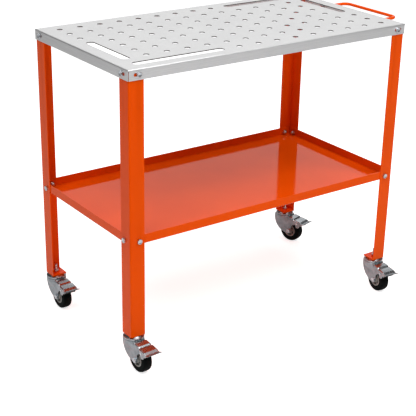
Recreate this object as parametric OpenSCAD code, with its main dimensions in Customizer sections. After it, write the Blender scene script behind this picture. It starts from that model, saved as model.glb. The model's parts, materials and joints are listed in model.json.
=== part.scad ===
// Rolling welding table: a perforated sheet-steel top on four bolted angle legs, with a tray
// shelf, a push handle and four swivel casters whose pedals lock the wheel.
// Millimetres. +Z is up and the floor is z = 0. +X runs along the table towards the handle,
// and the pedals of the front casters point to -Y. The origin is on the floor, under the
// middle of the whole outline, handle and front pedals included.

/* [Table top] */
// Length of the top, along X
top_l = 914; // [860:1:960]
// Width of the top, along Y
top_w = 482; // [460:1:520]
// Height of the working surface above the floor
top_h = 827; // [700:1:950]
// Sheet thickness of the top and the legs
sheet = 2.5; // [2:0.1:3]
// Depth of the bent-down edge
flange_h = 28; // [26:1:36]
// Outer radius of the bends
bend_r = 3.5; // [3.2:0.1:5]
// Width of the open seam at each corner
seam = 3; // [2:0.1:4]

/* [Fixture holes] */
// Radius of the fixture holes
hole_r = 8; // [6:0.5:9]
// Holes along X, some of them replaced by tool slots in the edge rows
hole_cols = 14; // [10:1:14]
// Holes along Y
hole_rows = 8; // [6:1:8]
// Hole pitch along X
pitch_x = 62.2; // [58:0.1:64]
// Hole pitch along Y
pitch_y = 56; // [52:0.5:58]
// Half the width of the tool slots
slot_r = 12; // [8:0.5:13]
// Pitches that a slot along X spans
slot_cols = 4; // [2:1:5]
// Pitches that a slot along Y spans
slot_rows = 3; // [2:1:3]

/* [Legs] */
// Width of each leg flange
leg_a = 43.5; // [40:0.5:50]
// Height of the leg's foot above the floor, which is the height of a caster
foot_z = 99; // [97:1:108]
// Thickness of the welded foot plate
foot_t = 4; // [3:0.5:5]

/* [Tray shelf] */
// Height of the tray's underside above the floor
tray_z = 362; // [250:1:500]
// Depth of the tray
tray_h = 25.8; // [24:0.1:40]
// Sheet thickness of the tray
tray_t = 2; // [1.5:0.1:2.5]

/* [Push handle] */
// Radius of the handle rod
rod_r = 4.5; // [4.5:0.5:7]
// Reach of the handle from the top's edge to its outer side
handle_out = 99; // [70:1:120]
// Distance between the two legs of the handle
handle_w = 220; // [160:1:300]
// Centre-line radius of the handle's bends
handle_bend = 20; // [16:1:30]
// Depth of the handle below the working surface
handle_drop = 20; // [19:0.5:20.5]

/* [Fasteners] */
// Height of a bolt head
head_h = 5; // [4:0.5:6]
// Height of a nut
nut_h = 6.5; // [5:0.5:7]
// Length of a frame bolt under its head
bolt_len = 16; // [14:1:18]
// Distance from the edges of the top to the bolts
bolt_in = 30; // [27:0.5:32]
// Depth of the upper bolts below the working surface
bolt_drop = 14; // [13.5:0.5:15]
// Height of the shelf bolts above the tray's underside
shelf_bolt_up = 11; // [10:0.5:12]

/* [Casters] */
// Radius of the wheels
wheel_r = 37.5; // [36:0.5:38]
// Width of the tyres
wheel_w = 27; // [23:0.5:27.5]
// Horizontal distance from the swivel axis to the axle
trail = 31; // [29:0.5:32]
// Radius of the swivel head
swivel_r = 28.5; // [28:0.5:29]
// Balls in each swivel race
ball_count = 12; // [8:1:20]
// Direction of the front left pedal
turn_fl = -87; // [-180:1:180]
// Direction of the front right pedal
turn_fr = -96; // [-180:1:180]
// Direction of the back left pedal
turn_bl = -89; // [-180:1:180]
// Direction of the back right pedal
turn_br = -74; // [-180:1:180]

/* [Hidden] */
$fn = 64;

// M8 threads and their hexagons
bolt_r = 4;
hex_af = 13;                      // across flats

// Clearances: running fits, bolt holes, and the gap between threads
run_gap = 0.08;
bolt_gap = 0.5;
thread_gap = 0.05;
eps = 0.5;                        // overlap that makes two joined shapes one solid

// Where the casters stand, and where their pedals reach
stem_in = sheet + leg_a/2;        // from the top's edge to the stem
pedal_out = 96;                   // from the stem to the tip of the pedal
center_x = (head_h - handle_out)/2;      // middle of the top in the shared frame
center_y = (pedal_out - stem_in - head_h)/2;

leg_top = top_h - bend_r - 1;
bolt_slot = 15;                   // straight length of the slots for the upper bolts
bolt_slot_in = 28;                // from the top's edge to the middle of such a slot
leg_in = 2*sheet;                 // from the top's edge to a leg's inner face
ball_turn = 360/ball_count;

// Colours
STEEL = [0.80, 0.80, 0.80];
ORANGE = [0.92, 0.30, 0.02];
ZINC = [0.72, 0.75, 0.78];
CHROME = [0.85, 0.86, 0.88];
BLACK = [0.06, 0.06, 0.06];
GREY = [0.52, 0.50, 0.48];
RED = [0.55, 0.08, 0.06];

// Caster: heights below the mounting face, and distances from the swivel axis
race_t = 6;                       // thickness of the top race
race_rim = 8.6;                   // depth of its rim
crown_top = -9;                   // upper face of the fork's crown
crown_t = 5;
ball_r = 2.5;
ball_pitch = 21;
ball_z = (crown_top - race_t)/2;
groove_gap = 0.1;
king_r = 5;                       // shouldered part of the stem
king_head_r = 9;
king_head_z = crown_top - crown_t - 0.3;
king_head_h = 3.5;
stem_up = 28;                     // free length of the threaded stem
skirt_h = 10;                     // flared part between the crown and the cheeks
skirt_r = 17;
cheek_in = 15;                    // inner face of a fork cheek
cheek_t = 2.5;
cheek_out = cheek_in + cheek_t;
axle_z = wheel_r - foot_z;
axle_r = 4;
bush_r = 6;
hub_boss_r = 11;
hub_boss_gap = 0.5;               // from the boss to a cheek
hub_web = 8;
hub_rim_in = 17;
hub_rim_out = 21;
hub_rim_inset = 0.5;              // from the tyre's side to the rim's
cheek_end_r = 10.5;               // rounded lower end of a cheek
cheek_end_x = trail - 3;          // and its middle, a little behind the axle
pivot_x = 64;                     // pedal pin
pivot_z = -26.5;
pin_r = 2.5;
pin_gap = 0.02;
pin_head = 1.5;
pin_head_t = 1.2;
wheel_room = 3;
axle_tail = 8;
pedal_t = 2;
rear_half = 20;                   // half widths of the pedal's rear plate and lip
lip_half = 24;
ear_in = 20;                      // inner face of the pedal's ears
ear_t = 2;
shoe_r = 3.5;
shoe_turn = 33;                   // where the shoe meets the tread, above the horizontal
shoe_gap = 2.2;                   // free play of the shoe off the tread
shoe_x = trail + (wheel_r + shoe_gap + shoe_r)*cos(shoe_turn);
shoe_z = axle_z + (wheel_r + shoe_gap + shoe_r)*sin(shoe_turn);

// ---- shared shapes ----

// Everything that belongs to the table is drawn around the middle of the top
module on_table() translate([center_x, center_y, 0]) children();

// Draws its children once at each corner of the table, made for the front left one
module each_corner()
    for (sx = [0, 1], sy = [0, 1])
        mirror([sx, 0, 0]) mirror([0, sy, 0])
            translate([-top_l/2, -top_w/2, 0]) children();

// Moves and turns its children to one caster: sx and sy are -1 or 1
module at_caster(sx, sy, turn)
    on_table() translate([sx*(top_l/2 - stem_in), sy*(top_w/2 - stem_in), foot_z])
        rotate([0, 0, turn]) children();
module at_fl() at_caster(-1, -1, turn_fl) children();
module at_fr() at_caster(1, -1, turn_fr) children();
module at_bl() at_caster(-1, 1, turn_bl) children();
module at_br() at_caster(1, 1, turn_br) children();

// Square with a rounded corner at the origin
module corner_square(side, r) {
    translate([r, 0]) square([side - r, side]);
    translate([0, r]) square([side, side - r]);
    translate([r, r]) circle(r);
}

// Block with rounded top edges, standing on z = 0
module soft_block(l, w, h, r) {
    translate([-l/2, -w/2, 0]) cube([l, w, h - r]);
    translate([r - l/2, r - w/2, 0]) cube([l - 2*r, w - 2*r, h]);
    for (s = [-1, 1]) {
        translate([r - l/2, s*(w/2 - r), h - r]) rotate([0, 90, 0]) cylinder(r = r, h = l - 2*r);
        translate([s*(l/2 - r), r - w/2, h - r]) rotate([-90, 0, 0]) cylinder(r = r, h = w - 2*r);
        for (t = [-1, 1]) translate([s*(l/2 - r), t*(w/2 - r), h - r]) sphere(r);
    }
}

// Folded pan, open side down, with an open seam at each corner
module pan(l, w, h, t, r) difference() {
    soft_block(l, w, h, r);
    translate([0, 0, -t]) soft_block(l - 2*t, w - 2*t, h, r - t);
    for (sx = [-1, 1], sy = [-1, 1])
        translate([sx*l/2, sy*w/2, (h - r)/2 - 1]) cube([2*seam, 2*seam, h - r + 2], center = true);
}

// Round-ended slot through a plate, along X
module slot_cutter(length, r, h) linear_extrude(h, center = true) {
    square([length, 2*r], center = true);
    for (s = [-1, 1]) translate([s*length/2, 0]) circle(r);
}

// Head below z = 0, thread above it
module hex_bolt(length) {
    translate([0, 0, -head_h]) cylinder(d = hex_af/cos(30), h = head_h, $fn = 6);
    cylinder(r = bolt_r, h = length);
}

module hex_nut(h) difference() {
    cylinder(d = hex_af/cos(30), h = h, $fn = 6);
    translate([0, 0, -1]) cylinder(r = bolt_r + thread_gap, h = h + 2);
}

// Places its children on the two outer faces of every corner, +Z pointing into the table
module on_corner_faces(z, depth, inset = bolt_in) each_corner() {
    translate([inset, depth, z]) rotate([-90, 0, 0]) children();
    translate([depth, inset, z]) rotate([0, 90, 0]) rotate([0, 0, 90]) children();
}

// Flat plate seen from the side of a caster, centred on y = mid
module side_plate(mid, t)
    translate([0, mid, 0]) rotate([90, 0, 0]) linear_extrude(t, center = true) children();

// Cylinder across a caster, from y0 to y1
module cross_bar(x, z, r, y0, y1)
    translate([x, y0, z]) rotate([-90, 0, 0]) cylinder(r = r, h = y1 - y0);

// ---- table ----

function has_hole(c, r) =
    !(r == 0 && c <= slot_cols) && !(r == hole_rows - 1 && c >= hole_cols - 1 - slot_cols)
    && !(c == 0 && r >= 1 && r <= 1 + slot_rows)
    && !(c == hole_cols - 1 && r >= hole_rows - 2 - slot_rows && r <= hole_rows - 2);

module tabletop() color(STEEL) on_table() translate([0, 0, top_h]) {
    x0 = -(hole_cols - 1)/2*pitch_x;
    y0 = -(hole_rows - 1)/2*pitch_y;
    difference() {
        translate([0, 0, -flange_h]) pan(top_l, top_w, flange_h, sheet, bend_r);
        for (c = [0 : hole_cols - 1], r = [0 : hole_rows - 1])
            if (has_hole(c, r))
                translate([x0 + c*pitch_x, y0 + r*pitch_y, -2*sheet]) cylinder(r = hole_r, h = 3*sheet);
        // tool slots: one along each edge, the same when the table is turned half round
        for (turn = [0, 180]) rotate([0, 0, turn]) {
            translate([x0 + slot_cols/2*pitch_x, y0, 0]) slot_cutter(slot_cols*pitch_x, slot_r, 3*sheet);
            translate([x0, y0 + (1 + slot_rows/2)*pitch_y, 0]) rotate([0, 0, 90])
                slot_cutter(slot_rows*pitch_y, slot_r, 3*sheet);
        }
        // slotted bolt holes in the bent edge
        on_corner_faces(-bolt_drop, 0, bolt_slot_in)
            slot_cutter(bolt_slot, bolt_r + bolt_gap, 3*sheet);
        for (s = [-1, 1])
            translate([top_l/2, s*handle_w/2, -handle_drop]) rotate([0, 90, 0])
                cylinder(r = bolt_r + bolt_gap, h = 3*sheet, center = true);
    }
}

// Angle leg for the front left corner, with its four bolt holes
module leg() color(ORANGE) difference() {
    translate([sheet, sheet, foot_z]) linear_extrude(leg_top - foot_z) difference() {
        corner_square(leg_a, bend_r);
        translate([sheet, sheet]) corner_square(leg_a, bend_r - sheet);
    }
    for (z = [top_h - bolt_drop, tray_z + shelf_bolt_up]) {
        translate([bolt_in, 0, z]) rotate([-90, 0, 0]) cylinder(r = bolt_r + bolt_gap, h = 3*sheet);
        translate([0, bolt_in, z]) rotate([0, 90, 0]) cylinder(r = bolt_r + bolt_gap, h = 3*sheet);
    }
}
module leg_at(sx, sy) on_table()
    mirror([sx, 0, 0]) mirror([0, sy, 0]) translate([-top_l/2, -top_w/2, 0]) leg();

// Square plates welded inside the feet of the legs, which carry the caster stems
module foot_plates() color(ORANGE) on_table() each_corner() difference() {
    translate([leg_in, leg_in, foot_z]) linear_extrude(foot_t) corner_square(leg_a - sheet, bend_r - sheet);
    translate([stem_in, stem_in, foot_z - 1]) cylinder(r = bolt_r + bolt_gap, h = foot_t + 2);
}

// Tray, open side up, bolted between the legs
module shelf_tray() color(ORANGE) on_table() difference() {
    translate([0, 0, tray_z + tray_h]) mirror([0, 0, 1])
        pan(top_l - 2*leg_in, top_w - 2*leg_in, tray_h, tray_t, bend_r);
    on_corner_faces(tray_z + shelf_bolt_up, 0) cylinder(r = bolt_r + bolt_gap, h = leg_in + 2*tray_t);
}

// Round rod bent into a U, with a threaded spigot at each end
module push_handle() color(ORANGE) on_table() translate([top_l/2, 0, top_h - handle_drop]) {
    run = handle_out - rod_r;                      // centre line of the outer run
    for (s = [-1, 1]) {
        translate([0, s*handle_w/2, 0]) rotate([0, 90, 0]) cylinder(r = rod_r, h = run - handle_bend);
        translate([-bolt_len, s*handle_w/2, 0]) rotate([0, 90, 0]) cylinder(r = bolt_r, h = bolt_len + eps);
        mirror([0, s < 0 ? 1 : 0, 0]) translate([run - handle_bend, handle_w/2 - handle_bend, 0])
            rotate_extrude(angle = 90) translate([handle_bend, 0]) circle(rod_r);
    }
    translate([run, handle_bend - handle_w/2, 0]) rotate([-90, 0, 0])
        cylinder(r = rod_r, h = handle_w - 2*handle_bend);
}

module table_bolts() color(ZINC) on_table() on_corner_faces(top_h - bolt_drop, 0) hex_bolt(bolt_len);
module table_nuts() color(ZINC) on_table() on_corner_faces(top_h - bolt_drop, leg_in) hex_nut(nut_h);
module shelf_bolts() color(ZINC) on_table()
    on_corner_faces(tray_z + shelf_bolt_up, sheet) hex_bolt(bolt_len);
module shelf_nuts() color(ZINC) on_table()
    on_corner_faces(tray_z + shelf_bolt_up, leg_in + tray_t) hex_nut(nut_h);
module handle_nuts() color(ZINC) on_table() for (s = [-1, 1])
    translate([top_l/2 - sheet, s*handle_w/2, top_h - handle_drop]) rotate([0, -90, 0]) hex_nut(nut_h);
module stem_nuts() color(ZINC) on_table() each_corner()
    translate([stem_in, stem_in, foot_z + foot_t]) hex_nut(nut_h);

// ---- caster, swivel axis on Z, mounting face at z = 0, pedal towards +X ----

// Rivet head under the crown, shouldered kingpin and threaded stem in one piece
module caster_stem() color(ZINC) {
    translate([0, 0, king_head_z - king_head_h]) cylinder(r = king_head_r, h = king_head_h);
    translate([0, 0, king_head_z - eps]) cylinder(r = king_r, h = eps - king_head_z);
    translate([0, 0, -eps]) cylinder(r = bolt_r, h = stem_up + eps);
}

module ball_groove() rotate_extrude() translate([ball_pitch, ball_z]) circle(ball_r + groove_gap);

module caster_top_race() color(CHROME) difference() {
    rotate_extrude() polygon([[king_r + thread_gap, 0], [swivel_r - 4, 0], [swivel_r, -3],
        [swivel_r, -race_rim], [swivel_r - 2, -race_rim], [swivel_r - 2, -race_t],
        [king_r + thread_gap, -race_t]]);
    ball_groove();
}

module caster_balls() for (i = [1 : ball_count])
    rotate([0, 0, i*ball_turn]) translate([ball_pitch, 0, ball_z]) sphere(ball_r);
module swivel_balls() color(CHROME) {
    at_fl() caster_balls();
    at_fr() caster_balls();
    at_bl() caster_balls();
    at_br() caster_balls();
}

// Outline of a fork cheek, with the arm that carries the pedal pin
module cheek_outline() {
    polygon([[-23, crown_top - 2], [-28, -16], [-28, -30], [-24, -43], [-15, -56], [-3, -66],
        [cheek_end_x - 3, axle_z - 10], [cheek_end_x + cheek_end_r, axle_z],
        [cheek_end_x + cheek_end_r, -46], [44, -38], [54, -33.5],
        [pivot_x, pivot_z - 5], [pivot_x, pivot_z + 4.5], [50, -19.5],
        [27, crown_top - 6.5], [23, crown_top - 2]]);
    translate([cheek_end_x, axle_z]) circle(cheek_end_r);
    translate([pivot_x, pivot_z - 0.25]) circle(4.75);
}

module caster_fork() color(ZINC) difference() {
    union() {
        translate([0, 0, crown_top - crown_t]) cylinder(r = swivel_r, h = crown_t);
        difference() {
            translate([0, 0, crown_top - crown_t - skirt_h])
                cylinder(r1 = skirt_r, r2 = swivel_r, h = skirt_h + eps);
            translate([0, 0, crown_top - crown_t - skirt_h - eps])
                cylinder(r1 = skirt_r - cheek_t, r2 = swivel_r - cheek_t, h = skirt_h + eps);
        }
        for (s = [-1, 1]) side_plate(s*(cheek_in + cheek_t/2), cheek_t) cheek_outline();
    }
    ball_groove();
    translate([0, 0, -50]) cylinder(r = king_r + run_gap, h = 50);
    // the wheel's own space between the cheeks
    cross_bar(trail, axle_z, wheel_r + wheel_room, -cheek_in, cheek_in);
    cross_bar(trail, axle_z, axle_r + run_gap, -swivel_r, swivel_r);
    cross_bar(pivot_x, pivot_z, pin_r + pin_gap, -swivel_r, swivel_r);
}

// Rubber tyre with rounded shoulders
module caster_tyre() color(BLACK) translate([trail, 0, axle_z]) rotate([90, 0, 0]) rotate_extrude() {
    shoulder = 4;
    half = wheel_w/2;
    translate([hub_rim_out, -half]) square([wheel_r - shoulder - hub_rim_out, wheel_w]);
    translate([hub_rim_out, shoulder - half]) square([wheel_r - hub_rim_out, wheel_w - 2*shoulder]);
    for (s = [-1, 1]) translate([wheel_r - shoulder, s*(half - shoulder)]) circle(shoulder);
}

// Boss, web and rim of the wheel
module caster_hub() color(GREY) translate([trail, 0, axle_z]) rotate([90, 0, 0]) rotate_extrude() {
    boss_half = cheek_in - hub_boss_gap;
    rim_half = wheel_w/2 - hub_rim_inset;
    translate([bush_r + run_gap, -boss_half]) square([hub_boss_r - bush_r - run_gap, 2*boss_half]);
    translate([hub_boss_r - eps, -hub_web/2]) square([hub_rim_in - hub_boss_r + 2*eps, hub_web]);
    translate([hub_rim_in, -rim_half]) square([hub_rim_out - hub_rim_in, 2*rim_half]);
}

// Steel tube that the wheel turns on, clamped between the cheeks
module caster_bush() color(ZINC) difference() {
    cross_bar(trail, axle_z, bush_r, -cheek_in, cheek_in);
    cross_bar(trail, axle_z, axle_r + thread_gap, -swivel_r, swivel_r);
}

module caster_axle_bolt() color(ZINC)
    translate([trail, -cheek_out, axle_z]) rotate([-90, 0, 0]) hex_bolt(2*cheek_out + axle_tail);
module caster_axle_nut() color(ZINC)
    translate([trail, cheek_out, axle_z]) rotate([-90, 0, 0]) hex_nut(nut_h);

// Sheet that follows a run of points seen from the side, pedal_t thick below them
module pedal_strip(points, half_w) side_plate(0, 2*half_w) polygon(concat(points,
    [for (i = [len(points) - 1 : -1 : 0]) points[i] - [0, pedal_t]]));

module pedal_ear_outline() {
    polygon([[55, -17.6], [79, -20.5], [70, -26.5], [shoe_x + 4, shoe_z], [shoe_x - 4, shoe_z],
        [pivot_x - 5.5, pivot_z]]);
    translate([pivot_x, pivot_z]) circle(5.5);
    translate([shoe_x, shoe_z]) circle(4);
}
// Pressed pedal: rear plate, tread plate, turned-up lip and an ear at each side
module caster_pedal() color(CHROME) difference() {
    union() {
        pedal_strip([[31.5, -11.5], [50, -14], [56, -17], [58, -17.3]], rear_half);
        pedal_strip([[55, -16.6], [80, -20]], ear_in + ear_t);
        pedal_strip([[78, -19.7], [88, -23.3], [pedal_out, -20]], lip_half);
        for (s = [-1, 1]) side_plate(s*(ear_in + ear_t/2), ear_t) pedal_ear_outline();
    }
    cross_bar(pivot_x, pivot_z, pin_r + run_gap, -swivel_r, swivel_r);
}

// Bar under the pedal that presses on the tread
module caster_brake_shoe() color(RED) cross_bar(shoe_x, shoe_z, shoe_r, -ear_in, ear_in);

module caster_pedal_pin() color(ZINC) {
    ends = ear_in + ear_t + 0.3;
    cross_bar(pivot_x, pivot_z, pin_r, -ends - eps, ends + eps);
    for (s = [0, 1]) mirror([0, s, 0]) cross_bar(pivot_x, pivot_z, pin_r + pin_head, ends, ends + pin_head_t);
}

// ---- nodes ----

tabletop();
leg_at(0, 0);  // leg_front_left
leg_at(1, 0);  // leg_front_right
leg_at(0, 1);  // leg_back_left
leg_at(1, 1);  // leg_back_right
foot_plates();
shelf_tray();
push_handle();
table_bolts();
table_nuts();
shelf_bolts();
shelf_nuts();
handle_nuts();
stem_nuts();
swivel_balls();

at_fl() caster_stem();  // stem_front_left
at_fr() caster_stem();  // stem_front_right
at_bl() caster_stem();  // stem_back_left
at_br() caster_stem();  // stem_back_right
at_fl() caster_top_race();  // top_race_front_left
at_fr() caster_top_race();  // top_race_front_right
at_bl() caster_top_race();  // top_race_back_left
at_br() caster_top_race();  // top_race_back_right
at_fl() caster_fork();  // fork_front_left
at_fr() caster_fork();  // fork_front_right
at_bl() caster_fork();  // fork_back_left
at_br() caster_fork();  // fork_back_right
at_fl() caster_tyre();  // tyre_front_left
at_fr() caster_tyre();  // tyre_front_right
at_bl() caster_tyre();  // tyre_back_left
at_br() caster_tyre();  // tyre_back_right
at_fl() caster_hub();  // hub_front_left
at_fr() caster_hub();  // hub_front_right
at_bl() caster_hub();  // hub_back_left
at_br() caster_hub();  // hub_back_right
at_fl() caster_bush();  // axle_bush_front_left
at_fr() caster_bush();  // axle_bush_front_right
at_bl() caster_bush();  // axle_bush_back_left
at_br() caster_bush();  // axle_bush_back_right
at_fl() caster_axle_bolt();  // axle_bolt_front_left
at_fr() caster_axle_bolt();  // axle_bolt_front_right
at_bl() caster_axle_bolt();  // axle_bolt_back_left
at_br() caster_axle_bolt();  // axle_bolt_back_right
at_fl() caster_axle_nut();  // axle_nut_front_left
at_fr() caster_axle_nut();  // axle_nut_front_right
at_bl() caster_axle_nut();  // axle_nut_back_left
at_br() caster_axle_nut();  // axle_nut_back_right
at_fl() caster_pedal();  // pedal_front_left
at_fr() caster_pedal();  // pedal_front_right
at_bl() caster_pedal();  // pedal_back_left
at_br() caster_pedal();  // pedal_back_right
at_fl() caster_pedal_pin();  // pedal_pin_front_left
at_fr() caster_pedal_pin();  // pedal_pin_front_right
at_bl() caster_pedal_pin();  // pedal_pin_back_left
at_br() caster_pedal_pin();  // pedal_pin_back_right
at_fl() caster_brake_shoe();  // brake_shoe_front_left
at_fr() caster_brake_shoe();  // brake_shoe_front_right
at_bl() caster_brake_shoe();  // brake_shoe_back_left
at_br() caster_brake_shoe();  // brake_shoe_back_right
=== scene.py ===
"""The looks of the rolling welding table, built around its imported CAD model.

Metres, +Z up, in the CAD model's frame. Small pieces are drawn in millimetres in a local frame
and placed by a matrix.
"""
import json
import math

import bmesh
import bpy
import numpy as np
from mathutils import Matrix, Vector


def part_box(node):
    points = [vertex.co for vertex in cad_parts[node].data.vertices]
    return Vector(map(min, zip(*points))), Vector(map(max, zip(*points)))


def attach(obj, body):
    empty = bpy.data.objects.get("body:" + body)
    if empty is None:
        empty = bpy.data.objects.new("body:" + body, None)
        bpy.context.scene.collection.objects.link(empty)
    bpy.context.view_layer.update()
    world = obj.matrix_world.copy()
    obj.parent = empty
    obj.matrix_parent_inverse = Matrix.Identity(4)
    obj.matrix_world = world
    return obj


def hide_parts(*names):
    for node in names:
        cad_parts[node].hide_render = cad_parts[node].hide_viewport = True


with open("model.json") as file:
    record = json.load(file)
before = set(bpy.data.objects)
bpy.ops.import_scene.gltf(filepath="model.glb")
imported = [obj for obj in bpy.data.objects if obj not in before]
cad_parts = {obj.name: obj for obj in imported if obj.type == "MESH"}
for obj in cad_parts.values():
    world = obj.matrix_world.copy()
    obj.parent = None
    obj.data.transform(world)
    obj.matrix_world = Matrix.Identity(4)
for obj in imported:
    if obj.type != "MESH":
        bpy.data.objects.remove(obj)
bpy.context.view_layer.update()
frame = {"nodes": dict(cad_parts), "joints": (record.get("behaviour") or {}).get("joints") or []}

MM = 0.001
CORNERS = ("front_left", "front_right", "back_left", "back_right")
TOP = "tabletop"
TABLE = "table"

# ---------------------------------------------------------------- shapes
# A shape is a pair (points, faces). Lengths are in millimetres.


def moved(shape, matrix):
    """The same shape, with every point carried by the matrix."""
    points, faces = shape
    return [matrix @ Vector(p) for p in points], faces


def joined(*shapes):
    """Several shapes as one."""
    points, faces = [], []
    for more_points, more_faces in shapes:
        start = len(points)
        points += list(more_points)
        faces += [tuple(i + start for i in face) for face in more_faces]
    return points, faces


def rounded(outline, steps=4):
    """A closed outline of (x, y) or (x, y, radius) points, its corners rounded by that radius."""
    result = []
    count = len(outline)
    for i, point in enumerate(outline):
        here = Vector(point[:2])
        radius = point[2] if len(point) > 2 else 0
        if not radius:
            result.append(tuple(here))
            continue
        before = Vector(outline[i - 1][:2]) - here
        after = Vector(outline[(i + 1) % count][:2]) - here
        half_angle = before.angle(after) / 2
        reach = min(radius / math.tan(half_angle), 0.49 * before.length, 0.49 * after.length)
        start = here + before.normalized() * reach
        end = here + after.normalized() * reach
        for k in range(steps + 1):
            t = k / steps
            result.append(tuple(start * (1 - t) ** 2 + here * 2 * t * (1 - t) + end * t * t))
    return result


def hexagon(across_flats):
    """How far a hexagon reaches in each direction."""
    def reach(angle):
        sector = math.pi / 3
        return across_flats / 2 / math.cos((angle + sector / 2) % sector - sector / 2)
    return reach


def lathe(profile, steps=64, limit=None):
    """Turns a closed profile of (radius, z) points round Z, cut off where limit(angle) is nearer."""
    points, faces = [], []
    count = len(profile)
    for i in range(steps):
        angle = 2 * math.pi * i / steps
        most = limit(angle) if limit else math.inf
        for radius, z in profile:
            r = min(radius, most)
            points.append((r * math.cos(angle), r * math.sin(angle), z))
    for i in range(steps):
        a, b = i * count, (i + 1) % steps * count
        for k in range(count):
            m = (k + 1) % count
            faces.append((a + k, b + k, b + m, a + m))
    return points, faces


def screw(radius, start, end, pitch=1.25, depth=0.65, steps=24, rows_per_turn=6):
    """A threaded rod along Z with chamfered ends."""
    rows = int((end - start) / pitch * rows_per_turn) + 1
    points, faces = [], []
    for k in range(rows):
        z = start + (end - start) * k / (rows - 1)
        chamfer = min(z - start, end - z, 1.0)
        for i in range(steps):
            phase = (z / pitch - i / steps) % 1
            groove = depth * abs(2 * phase - 1)
            r = min(radius - groove, radius - depth * 1.3 + chamfer)
            angle = 2 * math.pi * i / steps
            points.append((r * math.cos(angle), r * math.sin(angle), z))
    for k in range(rows - 1):
        for i in range(steps):
            j = (i + 1) % steps
            faces.append((k * steps + i, k * steps + j, (k + 1) * steps + j, (k + 1) * steps + i))
    faces.append(tuple(reversed(range(steps))))
    faces.append(tuple((rows - 1) * steps + i for i in range(steps)))
    return points, faces


def thick_grid(grid, thickness):
    """A sheet: a grid of points, and the same grid that much below it, closed all round."""
    rows, columns = len(grid), len(grid[0])
    array = np.array([[tuple(p) for p in row] for row in grid], float)
    along = np.gradient(array, axis=0)
    across = np.gradient(array, axis=1)
    normal = np.cross(along, across)
    normal /= np.maximum(np.linalg.norm(normal, axis=2, keepdims=True), 1e-9)
    under = array - normal * thickness
    points = [tuple(p) for p in array.reshape(-1, 3)] + [tuple(p) for p in under.reshape(-1, 3)]
    faces = []
    other = rows * columns
    for i in range(rows - 1):
        for j in range(columns - 1):
            a, b = i * columns + j, (i + 1) * columns + j
            faces.append((a, a + 1, b + 1, b))
            faces.append((other + a, other + b, other + b + 1, other + a + 1))
    rim = list(range(columns))
    rim += [i * columns + columns - 1 for i in range(1, rows)]
    rim += [(rows - 1) * columns + j for j in range(columns - 2, -1, -1)]
    rim += [i * columns for i in range(rows - 2, 0, -1)]
    for k, a in enumerate(rim):
        b = rim[(k + 1) % len(rim)]
        faces.append((a, other + a, other + b, b))
    return points, faces


def plate(outline, y0, y1):
    """A flat plate in the XZ plane, from y0 to y1."""
    count = len(outline)
    points = [(x, y0, z) for x, z in outline] + [(x, y1, z) for x, z in outline]
    faces = [tuple(range(count)), tuple(range(2 * count - 1, count - 1, -1))]
    faces += [(i, count + i, count + (i + 1) % count, (i + 1) % count) for i in range(count)]
    return points, faces


def tube(path, radius, steps=10):
    """A rod along a path; radius is a function of the point's number."""
    points, faces = [], []
    for k, here in enumerate(path):
        ahead = path[min(k + 1, len(path) - 1)] - path[max(k - 1, 0)]
        side = ahead.cross(Vector((0, 0, 1))).normalized()
        up = side.cross(ahead).normalized()
        for i in range(steps):
            angle = 2 * math.pi * i / steps
            points.append(here + (side * math.cos(angle) + up * math.sin(angle)) * radius(k))
    for k in range(len(path) - 1):
        for i in range(steps):
            j = (i + 1) % steps
            faces.append((k * steps + i, k * steps + j, (k + 1) * steps + j, (k + 1) * steps + i))
    faces.append(tuple(reversed(range(steps))))
    faces.append(tuple((len(path) - 1) * steps + i for i in range(steps)))
    return points, faces


def across(x, z, y=0):
    """Lays a shape made round Z along a caster's Y axis, its z = 0 at (x, y, z)."""
    return Matrix.Translation((x, y, z)) @ Matrix.Rotation(-math.pi / 2, 4, "X")


def piece(name, shape, place, material, slot, body, replaces=(), bevel=0.0, sharp=40):
    """Makes one object from a shape, parents it to its body's empty and hides the CAD nodes it
    replaces.
    """
    mesh = bpy.data.meshes.new(name)
    mesh.from_pydata([place @ Vector(p) for p in shape[0]], [], shape[1])
    work = bmesh.new()
    work.from_mesh(mesh)
    bmesh.ops.remove_doubles(work, verts=work.verts, dist=2e-6)
    bmesh.ops.dissolve_degenerate(work, edges=work.edges, dist=1e-6)
    bmesh.ops.recalc_face_normals(work, faces=work.faces)
    work.to_mesh(mesh)
    work.free()
    mesh.shade_smooth()
    mesh.set_sharp_from_angle(angle=math.radians(sharp))
    made = bpy.data.objects.new(name, mesh)
    bpy.context.scene.collection.objects.link(made)
    mesh.materials.append(material)
    if bevel:
        soften(made, bevel)
    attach(made, body)
    if replaces:
        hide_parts(*replaces)
    return made


def soften(target, width, angle=45):
    """Rounds the sharp edges of an object a little."""
    edge = target.modifiers.new("edge rounding", "BEVEL")
    edge.width = width * MM
    edge.segments = 2
    edge.limit_method = "ANGLE"
    edge.angle_limit = math.radians(angle)
    edge.use_clamp_overlap = True


# ---------------------------------------------------------------- materials


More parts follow.
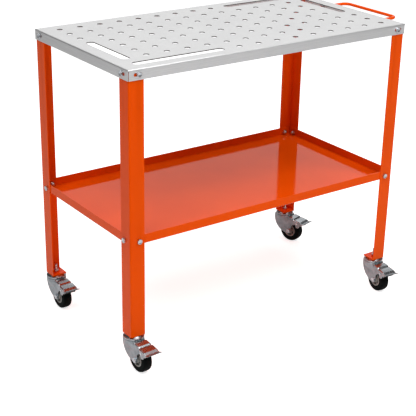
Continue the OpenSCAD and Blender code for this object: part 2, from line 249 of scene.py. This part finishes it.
class Paint:
    """A node material with a Principled shader, and short ways to add nodes to it."""

    def __init__(self, name):
        self.material = bpy.data.materials.new(name)
        self.material.use_nodes = True
        self.tree = self.material.node_tree
        self.shader = self.tree.nodes["Principled BSDF"]
        self.place = self.tree.nodes.new("ShaderNodeTexCoord").outputs["Object"]

    def node(self, kind, **inputs):
        made = self.tree.nodes.new(kind)
        for key, value in inputs.items():
            socket = made.inputs[key]
            if isinstance(value, bpy.types.NodeSocket):
                self.tree.links.new(value, socket)
            else:
                socket.default_value = value
        return made

    def noise(self, scale, detail=4.0, rough=0.55, stretch=(1, 1, 1)):
        spot = self.node("ShaderNodeMapping", Vector=self.place, Scale=stretch)
        made = self.node("ShaderNodeTexNoise", Vector=spot.outputs[0], Scale=scale,
                         Detail=detail, Roughness=rough)
        return made.outputs["Fac"]

    def spread(self, value, low, high, to_low, to_high):
        made = self.node("ShaderNodeMapRange", Value=value)
        for key, number in (("From Min", low), ("From Max", high),
                            ("To Min", to_low), ("To Max", to_high)):
            made.inputs[key].default_value = number
        return made.outputs[0]

    def blend(self, factor, first, second, mode="MIX"):
        made = self.tree.nodes.new("ShaderNodeMix")
        made.data_type = "RGBA"
        made.blend_type = mode
        for socket, value in zip((made.inputs[0], made.inputs[6], made.inputs[7]),
                                 (factor, first, second)):
            if isinstance(value, bpy.types.NodeSocket):
                self.tree.links.new(value, socket)
            elif isinstance(value, tuple):
                socket.default_value = (*value, 1)
            else:
                socket.default_value = value
        return made.outputs[2]

    def maths(self, operation, first, second):
        made = self.tree.nodes.new("ShaderNodeMath")
        made.operation = operation
        for socket, value in zip(made.inputs, (first, second)):
            if isinstance(value, bpy.types.NodeSocket):
                self.tree.links.new(value, socket)
            else:
                socket.default_value = value
        return made.outputs[0]

    def edges(self, radius):
        """1 on edges and 0 on flat faces; the materials use it to paint highlights on edges."""
        soft = self.node("ShaderNodeBevel", Radius=radius)
        soft.samples = 4
        flat = self.tree.nodes.new("ShaderNodeNewGeometry").outputs["Normal"]
        dot = self.tree.nodes.new("ShaderNodeVectorMath")
        dot.operation = "DOT_PRODUCT"
        self.tree.links.new(soft.outputs[0], dot.inputs[0])
        self.tree.links.new(flat, dot.inputs[1])
        return self.spread(dot.outputs["Value"], 0.98, 0.75, 0, 1)

    def bump(self, height, strength, distance):
        made = self.node("ShaderNodeBump", Height=height, Strength=strength, Distance=distance)
        old = self.shader.inputs["Normal"]
        if old.is_linked:
            self.tree.links.new(old.links[0].from_socket, made.inputs["Normal"])
        self.tree.links.new(made.outputs[0], old)

    def set(self, **values):
        for key, value in values.items():
            socket = self.shader.inputs[key.replace("_", " ")]
            if isinstance(value, bpy.types.NodeSocket):
                self.tree.links.new(value, socket)
            elif isinstance(value, tuple):
                socket.default_value = (*value, 1)
            else:
                socket.default_value = value
        return self.material


def inside(paint, node, margin):
    """1 where the surface lies inside a node's outline, seen from above, and 0 near its rim."""
    low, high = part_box(node)
    middle, half = (low + high) / 2, (high - low) / 2
    spot = paint.node("ShaderNodeSeparateXYZ", Vector=paint.place)
    found = 1.0
    for axis in (0, 1):
        off = paint.maths("SUBTRACT", spot.outputs[axis], middle[axis])
        off = paint.maths("ABSOLUTE", off, 0)
        found = paint.maths("MULTIPLY", paint.maths("LESS_THAN", off, half[axis] - margin), found)
    return found


def satin_steel():
    """Ground sheet steel: fine grinding lines, cloudy patches, small scratches; painted shade on the
    walls of the punched holes and painted highlights on the edges.
    """
    p = Paint("satin_steel")
    normal = p.tree.nodes.new("ShaderNodeNewGeometry").outputs["Normal"]
    split = p.node("ShaderNodeSeparateXYZ", Vector=normal)
    on_end = p.maths("ABSOLUTE", split.outputs[0], 0)
    along_x = p.noise(1.0, 3, 0.7, (9, 900, 900))
    along_y = p.noise(1.0, 3, 0.7, (900, 9, 900))
    lines = p.blend(on_end, along_x, along_y)
    clouds = p.noise(7, 5, 0.6)
    speckle = p.noise(420, 2, 0.7)
    grain = p.blend(0.45, lines, speckle)
    tone = p.blend(p.spread(grain, 0.3, 0.7, 0, 1), (0.66, 0.66, 0.66), (0.80, 0.80, 0.80))
    tone = p.blend(p.spread(clouds, 0.35, 0.75, 0, 0.35), tone, (0.62, 0.62, 0.63))
    upright = p.spread(p.maths("ABSOLUTE", split.outputs[2], 0), 0.9, 0.3, 0, 1)
    rolled = p.blend(p.spread(lines, 0.3, 0.7, 0, 1), (0.66, 0.66, 0.67), (0.80, 0.80, 0.80))
    tone = p.blend(upright, tone, rolled)
    # painted shade: the walls of the punched holes inside the top's outline are coloured near black
    tone = p.blend(p.maths("MULTIPLY", upright, inside(p, TOP, 0.008)), tone, (0.07, 0.066, 0.062))
    # painted highlight: edges lightened towards pale grey
    tone = p.blend(p.maths("MULTIPLY", p.edges(0.0012), 0.6), tone, (0.92, 0.92, 0.92))
    p.bump(lines, 0.10, 0.0004)
    p.bump(speckle, 0.05, 0.0003)
    rough = p.spread(grain, 0.25, 0.75, 0.34, 0.50)
    return p.set(Base_Color=tone, Metallic=0.75, Roughness=rough)


def powder_coat():
    """Glossy orange powder coat with a fine orange peel and painted highlights on the edges."""
    p = Paint("orange_powder_coat")
    peel = p.noise(330, 2, 0.5)
    clouds = p.noise(5, 3, 0.5)
    specks = p.spread(p.noise(900, 2, 0.5), 0.66, 0.72, 0, 1)
    tone = p.blend(p.spread(clouds, 0.3, 0.7, 0, 1), (0.87, 0.078, 0.0010), (0.93, 0.090, 0.0014))
    tone = p.blend(p.maths("MULTIPLY", specks, 0.2), tone, (0.60, 0.045, 0.0006))
    # painted highlight: edges lightened towards a paler orange
    tone = p.blend(p.maths("MULTIPLY", p.edges(0.0010), 0.3), tone, (0.95, 0.13, 0.01))
    p.bump(peel, 0.04, 0.0002)
    rough = p.spread(clouds, 0.3, 0.7, 0.06, 0.11)
    return p.set(Base_Color=tone, Roughness=rough, IOR=1.24, Specular_Tint=(1.0, 0.25, 0.05))


def metal(name, dark, light, rough_low, rough_high, grain=260, bump=0.05, metallic=1.0):
    """Plated metal with a mottled finish and painted highlights on the edges."""
    p = Paint(name)
    fine = p.noise(grain, 3, 0.6)
    clouds = p.noise(60, 4, 0.6)
    tone = p.blend(p.spread(clouds, 0.3, 0.7, 0, 1), dark, light)
    # painted highlight: edges lightened towards near white
    tone = p.blend(p.maths("MULTIPLY", p.edges(0.0005), 0.5), tone, (0.95, 0.95, 0.95))
    p.bump(fine, bump, 0.0002)
    rough = p.spread(fine, 0.3, 0.7, rough_low, rough_high)
    return p.set(Base_Color=tone, Metallic=metallic, Roughness=rough)


def rubber(name, dark, light, rough):
    """Moulded rubber with a little dust."""
    p = Paint(name)
    dust = p.noise(45, 5, 0.65)
    grain = p.noise(900, 2, 0.6)
    tone = p.blend(p.spread(dust, 0.45, 0.8, 0, 1), dark, light)
    p.bump(grain, 0.15, 0.0002)
    return p.set(Base_Color=tone, Roughness=p.spread(dust, 0.3, 0.7, rough, rough + 0.15),
                 Specular_IOR_Level=0.04)


def moulded_plastic():
    """Grey hub: moulded plastic with flow marks."""
    p = Paint("grey_hub")
    flow = p.noise(30, 4, 0.6)
    grain = p.noise(700, 2, 0.5)
    tone = p.blend(p.spread(flow, 0.3, 0.7, 0, 1), (0.25, 0.24, 0.22), (0.36, 0.35, 0.33))
    p.bump(grain, 0.12, 0.0002)
    return p.set(Base_Color=tone, Roughness=p.spread(flow, 0.3, 0.7, 0.38, 0.55))


STEEL = satin_steel()
ORANGE = powder_coat()
ZINC = metal("bright_zinc", (0.50, 0.53, 0.57), (0.70, 0.73, 0.76), 0.22, 0.36)
PRESSED = metal("pressed_zinc", (0.24, 0.28, 0.30), (0.42, 0.46, 0.49), 0.30, 0.46, 500,
                metallic=0.9)
CHROME = metal("chrome_plate", (0.29, 0.31, 0.33), (0.45, 0.47, 0.49), 0.20, 0.32, 200, bump=0.03)
BLACK = rubber("black_rubber", (0.003, 0.004, 0.004), (0.011, 0.012, 0.012), 0.5)
BRAKE_RUBBER = rubber("brake_rubber", (0.03, 0.03, 0.03), (0.06, 0.058, 0.055), 0.6)
HUB = moulded_plastic()

# ---------------------------------------------------------------- table

HEAD_H = 5.0            # M8 hexagon head, a little lower than the standard's 5.3
HEX = 13.0              # across the flats of heads and nuts
THREAD_R = 4.0
NUT_H = 6.5
CORNER_BOLT_L = 16      # shank of the bolts that hold the top and the tray to the legs


def finish_cad(node, material, width):
    """Gives a CAD node its material and slightly rounded edges."""
    target = frame["nodes"][node]
    target.data.materials.clear()
    target.data.materials.append(material)
    weld = target.modifiers.new("joined corners", "WELD")
    weld.merge_threshold = 0.00002
    soften(target, width, 40)


def hex_bolt(length):
    """Chamfered hexagon head below z = 0, threaded shank above it."""
    dish, edge = 0.3, HEX / 2
    head = [(0, dish - HEAD_H), (edge - 1.6, dish - HEAD_H), (edge - 1.2, -HEAD_H),
            (edge - 0.3, -HEAD_H), (edge + 0.3, 0.3 - HEAD_H), (edge + 0.7, 0.55 - HEAD_H),
            (edge + 1.1, 0.9 - HEAD_H), (edge + 1.1, -0.7), (edge + 0.7, -0.45), (edge - 0.2, -0.2),
            (edge - 0.2, 0), (THREAD_R - 0.4, 0), (THREAD_R - 0.4, 0.5), (0, 0.5)]
    return joined(lathe(head, 48, hexagon(HEX)), screw(THREAD_R, -0.3, length))


def hex_nut(height):
    """Chamfered hexagon nut standing on z = 0."""
    edge = HEX / 2
    bore = THREAD_R + 0.05
    ring = [(bore + 0.6, 0), (edge - 0.3, 0), (edge + 0.3, 0.3), (edge + 0.7, 0.55),
            (edge + 1.1, 0.9), (edge + 1.1, height - 0.9), (edge + 0.7, height - 0.55),
            (edge + 0.3, height - 0.3), (edge - 0.3, height), (bore + 0.6, height),
            (bore, height - 0.6), (bore, 0.6)]
    return lathe(ring, 48, hexagon(HEX))


def at(point, direction, spin=0.0):
    """Puts a shape's z = 0 at a point in metres and its +Z in a direction."""
    turn = Vector(direction).to_track_quat("Z", "Y").to_matrix().to_4x4()
    return Matrix.Translation(point) @ turn @ Matrix.Rotation(spin, 4, "Z") @ Matrix.Scale(MM, 4)


def corner_fasteners(bolts, nuts):
    """Where a group of corner bolts and its nuts stand: lists of matrices for both."""
    low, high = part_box(bolts)
    nut_low, nut_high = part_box(nuts)
    bolt_places, nut_places = [], []
    spin = 0
    z = (low.z + high.z) / 2
    for node_low, node_high in solids(bolts):
        size = node_high - node_low
        middle = (node_high + node_low) / 2
        spin += 1
        if size.x > size.y:
            inward = 1 if middle.x < (low.x + high.x) / 2 else -1
            head = low.x if inward > 0 else high.x
            nut = nut_low.x if inward > 0 else nut_high.x
            direction = (inward, 0, 0)
            bolt_places.append(at((head + inward * HEAD_H * MM, middle.y, z), direction, spin))
            nut_places.append(at((nut, middle.y, z), direction, 2 * spin))
        else:
            inward = 1 if middle.y < (low.y + high.y) / 2 else -1
            head = low.y if inward > 0 else high.y
            nut = nut_low.y if inward > 0 else nut_high.y
            direction = (0, inward, 0)
            bolt_places.append(at((middle.x, head + inward * HEAD_H * MM, z), direction, spin))
            nut_places.append(at((middle.x, nut, z), direction, 2 * spin))
    return bolt_places, nut_places


def solids(node):
    """The boxes of a node's separate solids, in a fixed order."""
    work = bmesh.new()
    work.from_mesh(frame["nodes"][node].data)
    bmesh.ops.remove_doubles(work, verts=work.verts, dist=1e-6)
    left = set(work.verts)
    boxes = []
    while left:
        seed = left.pop()
        group, queue = [seed], [seed]
        while queue:
            for edge in queue.pop().link_edges:
                for vert in edge.verts:
                    if vert in left:
                        left.remove(vert)
                        group.append(vert)
                        queue.append(vert)
        low = Vector([min(v.co[i] for v in group) for i in range(3)])
        high = Vector([max(v.co[i] for v in group) for i in range(3)])
        boxes.append((low, high))
    work.free()
    return sorted(boxes, key=lambda box: tuple(round(c, 4) for c in box[0]))


def placed(shape, places):
    """The same shape at every place, as one shape in metres."""
    return joined(*[moved(shape, place) for place in places])


def make_fasteners():
    world = Matrix.Identity(4)
    for group in ("table", "shelf"):
        bolts, nuts = group + "_bolts", group + "_nuts"
        bolt_places, nut_places = corner_fasteners(bolts, nuts)
        piece(group + "_hex_bolts", placed(hex_bolt(CORNER_BOLT_L), bolt_places), world, ZINC,
              "zinc_plated", TABLE, (bolts,))
        piece(group + "_hex_nuts", placed(hex_nut(NUT_H), nut_places), world, ZINC,
              "zinc_plated", TABLE, (nuts,))
    handle = []
    for low, high in solids("handle_nuts"):
        middle = (low + high) / 2
        handle.append(at((high.x, middle.y, middle.z), (-1, 0, 0), 0.3))
    piece("handle_hex_nuts", placed(hex_nut(NUT_H), handle), world, ZINC, "zinc_plated",
          TABLE, ("handle_nuts",))
    stems = []
    for k, (low, high) in enumerate(solids("stem_nuts")):
        middle = (low + high) / 2
        stems.append(at((middle.x, middle.y, low.z), (0, 0, 1), 0.4 * k))
    piece("stem_hex_nuts", placed(hex_nut(NUT_H), stems), world, ZINC, "zinc_plated",
          TABLE, ("stem_nuts",))


def make_weld_beads():
    """The fillet welds between each foot plate and its leg, painted over."""
    wall, plate_t = 2.5, 4
    for corner in CORNERS:
        low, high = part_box("leg_" + corner)
        plate_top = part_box("foot_plates")[0].z / MM + plate_t
        right, back = "right" in corner, corner.startswith("back")
        x0, x1 = (high.x, low.x) if right else (low.x, high.x)
        y0, y1 = (high.y, low.y) if back else (low.y, high.y)
        sx, sy = (-1 if right else 1), (-1 if back else 1)
        bead_r = 1.9
        step_in = wall + bead_r * 0.45
        corner_x, corner_y = x0 / MM + sx * step_in, y0 / MM + sy * step_in
        end_x, end_y = x1 / MM - sx * 2, y1 / MM - sy * 2
        z = plate_top + bead_r * 0.35
        count = 46              # rings of the bead along each wall
        bend = 5                # its radius round the leg's inner corner
        turn = [math.pi / 2 * i / 6 for i in range(7)]
        path = [Vector((end_x + (corner_x + sx * bend - end_x) * i / count, corner_y, z))
                for i in range(count)]
        path += [Vector((corner_x + sx * bend * (1 - math.sin(a)),
                         corner_y + sy * bend * (1 - math.cos(a)), z)) for a in turn]
        rest = end_y - corner_y - sy * bend
        path += [Vector((corner_x, corner_y + sy * bend + rest * i / count, z))
                 for i in range(1, count + 1)]
        last = len(path) - 1

        def ripple(k, last=last):
            ends = min(1.0, 0.45 + min(k, last - k) / 4)
            return bead_r * ends * (0.86 + 0.14 * abs(math.sin(k * 1.1)))

        piece("weld_bead_" + corner, tube(path, ripple), Matrix.Scale(MM, 4), ORANGE,
              "orange_powder_coat", TABLE)


# ---------------------------------------------------------------- casters
# Local frame of a caster, in millimetres: the swivel axis is Z, its mounting face is z = 0, and the
# pedal points to +X.

HEAD_R = 28.5           # swivel head
CROWN_TOP = -9.0
CHEEK_OUT = 17.5
SHEET = 2.5
END_R = 10.5            # lower end of a fork cheek, and how far its middle is behind the axle
END_BACK = 3.0
HALF_TYRE = 13.5
BORE_R = 21.0           # of the tyre
PIVOT = (64.0, -26.5)   # pedal pin, x and z
EAR_IN, EAR_OUT = 20.0, 22.0
PEDAL_T = 1.6
PEDAL_TIP = (95.8, -20.2)
SHOE_R = 3.5            # brake bar


class Caster:
    """Where one caster stands, how it is turned, and the sizes read from its CAD nodes."""

    def __init__(self, corner):
        self.corner = corner
        joints = {j["name"]: j for j in frame["joints"]}
        swivel = Vector(joints[f"swivel_{corner}_turn"]["pos_m"])
        axle = Vector(joints[f"wheel_{corner}_roll"]["pos_m"])
        offset = axle - swivel
        forward = Vector((offset.x, offset.y, 0))
        self.trail = forward.length / MM
        self.axle_z = offset.z / MM
        forward.normalize()
        side = Vector((0, 0, 1)).cross(forward)
        turn = Matrix((forward, side, Vector((0, 0, 1)))).transposed().to_4x4()
        self.place = Matrix.Translation(swivel) @ turn @ Matrix.Scale(MM, 4)
        low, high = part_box("tyre_" + corner)
        self.wheel_r = (high.z - low.z) / 2 / MM
        self.fork = "swivel_" + corner
        self.wheel = "wheel_" + corner
        self.brake = "brake_" + corner

    def add(self, name, shape, material, slot, body, nodes=(), **more):
        replaced = tuple(node + "_" + self.corner for node in nodes)
        piece(name + "_" + self.corner, shape, self.place, material, slot, body, replaced, **more)

    def make_stem(self):
        head = rounded([(0, -17.8), (7, -17.8, 1.5), (9, -15.5, 1), (9, -14.3), (0, -14.3)])
        neck = [(0, -14.8), (5, -14.8), (5, -0.5), (0, -0.5)]
        shape = joined(lathe(head, 40), lathe(neck, 32), screw(THREAD_R, -0.6, 28))
        self.add("threaded_stem", shape, ZINC, "zinc_plated", TABLE, ("stem",))

    def make_top_race(self):
        ring = rounded([(5.05, 0), (21, 0, 2), (25.5, -3.6, 1.5), (HEAD_R, -4.4, 1.0),
                        (HEAD_R, -8.6, 0.6), (26.7, -8.6, 0.5), (26.7, -6.2, 0.8), (5.05, -6)])
        self.add("swivel_cap", lathe(ring, 96), CHROME, "chrome", TABLE, ("top_race",))

    def cheek(self, side):
        """One pressed cheek, from the round head down to the axle, with the arm for the pedal."""
        end_x, axle_z = self.trail - END_BACK, self.axle_z
        bottom = axle_z - END_R
        start = Vector((-26.5, CROWN_TOP))
        controls = (start, Vector((-33, -46)), Vector((-7, bottom)), Vector((end_x, bottom)))
        back = []
        for k in range(33):
            t = k / 32
            weights = ((1 - t) ** 3, 3 * t * (1 - t) ** 2, 3 * t * t * (1 - t), t ** 3)
            back.append(sum((c * w for c, w in zip(controls, weights)), Vector((0, 0))))
        arm_r = 4.75
        px, pz = PIVOT
        front = [(24, CROWN_TOP), (26.5, -13, 3), (36, -16.5, 8), (50, -19.2, 4),
                 (px - 4, pz + arm_r - 0.3, 2)]
        front = [Vector(p) for p in rounded(front + [(0, 0)])[:-1]]
        front += [Vector((px + arm_r * math.sin(a), pz + arm_r * math.cos(a)))
                  for a in (math.pi * i / 10 for i in range(11))]
        lower = [(px - 2, pz - arm_r - 0.1), (55, -33.2, 4), (44.5, -37.6, 6),
                 (end_x + END_R, -44.5, 8), (end_x + END_R, axle_z + 1)]
        front += [Vector(p) for p in rounded([(px, pz)] + lower + [(0, bottom)])[1:-1]]
        front += [Vector((end_x + END_R * math.cos(a), axle_z - END_R * math.sin(a)))
                  for a in (math.pi / 2 * i / 12 for i in range(13))]
        levels = sorted({round(p.y, 3) for p in back + front}, reverse=True)
        columns = 36
        grid = []
        back_z, back_x = [-p.y for p in back], [p.x for p in back]
        front_z, front_x = [-p.y for p in front], [p.x for p in front]
        for z in levels:
            x0 = float(np.interp(-z, back_z, back_x))
            x1 = float(np.interp(-z, front_z, front_x))
            row = []
            for j in range(columns + 1):
                x = x0 + (x1 - x0) * j / columns
                row.append((x, side * self.cheek_y(x, z), z))
            grid.append(row if side < 0 else row[::-1])
        return thick_grid(grid, SHEET)

    @staticmethod
    def cheek_y(x, z):
        """How far out a cheek's surface stands: round at the head, flat at the axle."""
        shoulder = 3.2
        down = (CROWN_TOP - z)
        head = HEAD_R - 0.1
        if down < shoulder:
            head -= shoulder - math.sqrt(shoulder ** 2 - (shoulder - down) ** 2)
        round_y = math.sqrt(max(head ** 2 - x * x, 0))
        t = min(max((down - shoulder) / 30, 0), 1)
        flat = t * t * (3 - 2 * t)
        return max(round_y * (1 - flat) + CHEEK_OUT * flat, CHEEK_OUT)

    def make_fork(self):
        crown = rounded([(5.08, CROWN_TOP), (HEAD_R - 0.2, CROWN_TOP, 3),
                         (HEAD_R - 0.2, CROWN_TOP - 5, 1.2), (5.08, CROWN_TOP - 5)])
        shape = joined(lathe(crown, 96), self.cheek(-1), self.cheek(1))
        self.add("pressed_fork", shape, PRESSED, "zinc_plated", self.fork, ("fork",),
                 bevel=0.5, sharp=50)

    def make_axle(self):
        x, z = self.trail, self.axle_z
        cheek_in = CHEEK_OUT - SHEET
        bush = rounded([(4.05, -cheek_in), (6, -cheek_in), (6, cheek_in), (4.05, cheek_in)])
        self.add("axle_tube", moved(lathe(bush, 40), across(x, z)), ZINC, "zinc_plated",
                 self.fork, ("axle_bush",))
        bolt = hex_bolt(2 * CHEEK_OUT + 8)
        self.add("axle_hex_bolt", moved(bolt, across(x, z, -CHEEK_OUT)), ZINC, "zinc_plated",
                 self.fork, ("axle_bolt",))
        nut = hex_nut(NUT_H)
        self.add("axle_hex_nut", moved(nut, across(x, z, CHEEK_OUT)), ZINC, "zinc_plated",
                 self.fork, ("axle_nut",))

    def make_wheel(self):
        r, half = self.wheel_r, HALF_TYRE
        side = [(BORE_R, half - 0.6), (BORE_R + 0.6, half), (BORE_R + 4, half),
                (BORE_R + 4.4, half - 0.4), (BORE_R + 5.2, half - 0.4), (BORE_R + 5.6, half),
                (r - 4.5, half - 0.1, 2)]
        side += [(r - 1.2, half - 2.2, 2.5), (r - 0.3, half - 5.5, 3), (r, 3)]
        profile = side + [(radius, -z, *more) for radius, z, *more in reversed(side)]
        tyre = moved(lathe(rounded(profile), 96), across(self.trail, self.axle_z))
        self.add("wheel_tyre", tyre, BLACK, "black_rubber", self.wheel, ("tyre",))
        rim_in, boss_r, bore = 17, 10.5, 6.08
        rim = rounded([(rim_in, half - 0.8, 0.4), (rim_in + 1, half - 0.5, 0.4), (BORE_R, half - 0.5),
                       (BORE_R, 0.5 - half), (rim_in + 1, 0.5 - half, 0.4), (rim_in, 0.8 - half, 0.4)])
        web = [(boss_r - 0.5, 2.5), (rim_in + 0.5, 2.5), (rim_in + 0.5, -2.5), (boss_r - 0.5, -2.5)]
        boss = rounded([(bore, 14.4), (boss_r - 1, 14.4, 0.6), (boss_r, 10), (boss_r, -10),
                        (boss_r - 1, -14.4, 0.6), (bore, -14.4)])
        ribs = []
        for k in range(6):
            rib = plate(rounded([(boss_r - 0.6, 9.5), (rim_in + 0.6, 11.2),
                                 (rim_in + 0.6, -11.2), (boss_r - 0.6, -9.5)]), -1.1, 1.1)
            ribs.append(moved(rib, Matrix.Rotation(math.pi / 3 * k, 4, "Z")))
        shape = joined(lathe(rim, 80), lathe(web, 64), lathe(boss, 48), *ribs)
        shape = moved(shape, across(self.trail, self.axle_z))
        self.add("wheel_hub", shape, HUB, "grey_hub", self.wheel, ("hub",), bevel=0.3)

    def make_pedal(self):
        path = rounded([(31.5, -11.6), (48.5, -13.9, 2.5), (52, -17.6, 1.5), (56.5, -16.6, 2),
                        (76, -19.4, 4), (85, -24.0, 4), PEDAL_TIP], 5)
        path = path[:-1] + [PEDAL_TIP]
        path = [path[0]] + [p for p, q in zip(path[1:], path) if (Vector(p) - Vector(q)).length > 0.05]
        widths = ((31, 19.4), (46, 20), (53, 20.3), (58, 21.4), (78, 21.8), (86, 23), (96, 24))
        rolled = 1.6            # how far the long edges are rolled down
        grid = []
        for x, z in path:
            half = float(np.interp(x, [w[0] for w in widths], [w[1] for w in widths]))
            row = []
            columns = 22
            for j in range(columns + 1):
                v = 2 * j / columns - 1
                edge = max(abs(v) - 0.9, 0) / 0.1
                drop = rolled * edge ** 2 * float(np.interp(x, (31, 50, 80, 92), (0.7, 1, 1, 0.15)))
                row.append((x, v * half, z - drop))
            grid.append(row)
        top = thick_grid(grid, PEDAL_T)
        shoe_x, shoe_z = self.shoe()
        ear = rounded([(55, -17.9), (78, -20.9, 1), (84.5, -25.5, 3), (82.5, -31, 3), (74, -33, 5),
                       (shoe_x + 4.5, shoe_z - 3, 4), (shoe_x - 4.5, shoe_z - 3, 4), (57, -27, 4)], 5)
        ears = [plate(ear, *sorted((s * EAR_IN, s * EAR_OUT))) for s in (-1, 1)]
        shape = joined(top, *ears)
        self.add("brake_pedal", shape, CHROME, "chrome", self.brake, ("pedal",),
                 bevel=0.5, sharp=55)

    def shoe(self):
        """Middle of the brake shoe, read from its CAD node."""
        low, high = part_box("brake_shoe_" + self.corner)
        middle = self.place.inverted() @ ((low + high) / 2)
        return middle.x, middle.z

    def make_brake(self):
        x, z = self.shoe()
        r = SHOE_R
        bar = [(0, -EAR_IN), (r - 0.6, -EAR_IN), (r, 0.6 - EAR_IN)]
        for k in range(-5, 6):
            bar += [(r, 3 * k - 0.8), (r - 0.45, 3 * k - 0.4),
                    (r - 0.45, 3 * k + 0.4), (r, 3 * k + 0.8)]
        bar += [(r, EAR_IN - 0.6), (r - 0.6, EAR_IN), (0, EAR_IN)]
        self.add("brake_bar", moved(lathe(bar, 40), across(x, z)), BRAKE_RUBBER, "brake_rubber",
                 self.brake, ("brake_shoe",))
        end = EAR_OUT + 0.3
        pin = rounded([(0, -end - 1.2), (3.2, -end - 1.2, 0.8), (4, -end, 0.3), (2.5, -end),
                       (2.5, end), (4, end, 0.3), (3.2, end + 1.2, 0.8), (0, end + 1.2)])
        self.add("pedal_rivet", moved(lathe(pin, 32), across(*PIVOT)), ZINC, "zinc_plated",
                 self.fork, ("pedal_pin",))

    def make(self):
        self.make_stem()
        self.make_top_race()
        self.make_fork()
        self.make_axle()
        self.make_wheel()
        self.make_pedal()
        self.make_brake()


# ---------------------------------------------------------------- stage


def make_floor():
    mesh = bpy.data.meshes.new("floor")
    size = 14
    mesh.from_pydata([(-size, -size, 0), (size, -size, 0), (size, size, 0), (-size, size, 0)], [],
                     [(0, 1, 2, 3)])
    floor = bpy.data.objects.new("floor", mesh)
    bpy.context.scene.collection.objects.link(floor)
    p = Paint("pale_floor")
    tone = p.blend(p.noise(3, 3, 0.5), (0.90, 0.90, 0.90), (0.93, 0.93, 0.93))
    seen = p.tree.nodes.new("ShaderNodeLightPath").outputs["Is Camera Ray"]
    glow = p.spread(seen, 0, 1, 0.15, 0.75)
    mesh.materials.append(p.set(Base_Color=tone, Roughness=0.9, Specular_IOR_Level=0.1,
                                Emission_Color=(1.0, 1.0, 1.0), Emission_Strength=glow))


def add_panel(name, location, target, size, watts):
    """A soft square light."""
    light = bpy.data.lights.new(name, "AREA")
    light.shape = "RECTANGLE"
    light.size, light.size_y = size
    light.energy = watts
    lamp = bpy.data.objects.new(name, light)
    bpy.context.scene.collection.objects.link(lamp)
    lamp.location = location
    lamp.rotation_euler = (Vector(target) - Vector(location)).to_track_quat("-Z", "Y").to_euler()


def make_studio():
    world = bpy.data.worlds.new("studio")
    bpy.context.scene.world = world
    world.use_nodes = True
    back = world.node_tree.nodes["Background"]
    back.inputs["Color"].default_value = (1.0, 1.0, 1.0, 1)
    back.inputs["Strength"].default_value = 0.10
    middle = (0, 0, 0.5)
    add_panel("overhead", (0.1, 0.2, 3.4), middle, (3.0, 3.0), 45)
    add_panel("front_top", (0.3, -2.2, 3.4), middle, (2.4, 1.6), 68)
    add_panel("left_top", (-2.0, -1.0, 3.1), (0, 0, 0.6), (1.4, 1.8), 34)
    add_panel("back_right", (2.3, 3.2, 2.4), (0, 0, 0.8), (4.4, 2.6), 34)
    scene = bpy.context.scene
    scene.view_settings.view_transform = "Standard"
    scene.view_settings.look = "None"


def make_camera():
    """Seen from the front left and a little above, through a long lens."""
    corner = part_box(TOP)[0]
    camera = bpy.data.objects.new("camera", bpy.data.cameras.new("camera"))
    bpy.context.scene.collection.objects.link(camera)
    camera.location = (corner.x - 1.317, corner.y - 2.167, 1.5477)
    camera.rotation_euler = [math.radians(a) for a in (67.053, -1.036, -35.283)]
    camera.data.sensor_width = 36
    camera.data.lens = 95.33
    camera.data.clip_end = 60
    bpy.context.scene.camera = camera


make_camera()
make_studio()
make_floor()

finish_cad(TOP, STEEL, 0.35)
for corner in CORNERS:
    finish_cad("leg_" + corner, ORANGE, 0.35)
finish_cad("foot_plates", ORANGE, 0.4)
finish_cad("shelf_tray", ORANGE, 0.35)
finish_cad("push_handle", ORANGE, 0.3)
finish_cad("swivel_balls", CHROME, 0.0)
make_fasteners()
make_weld_beads()
for corner in CORNERS:
    Caster(corner).make()
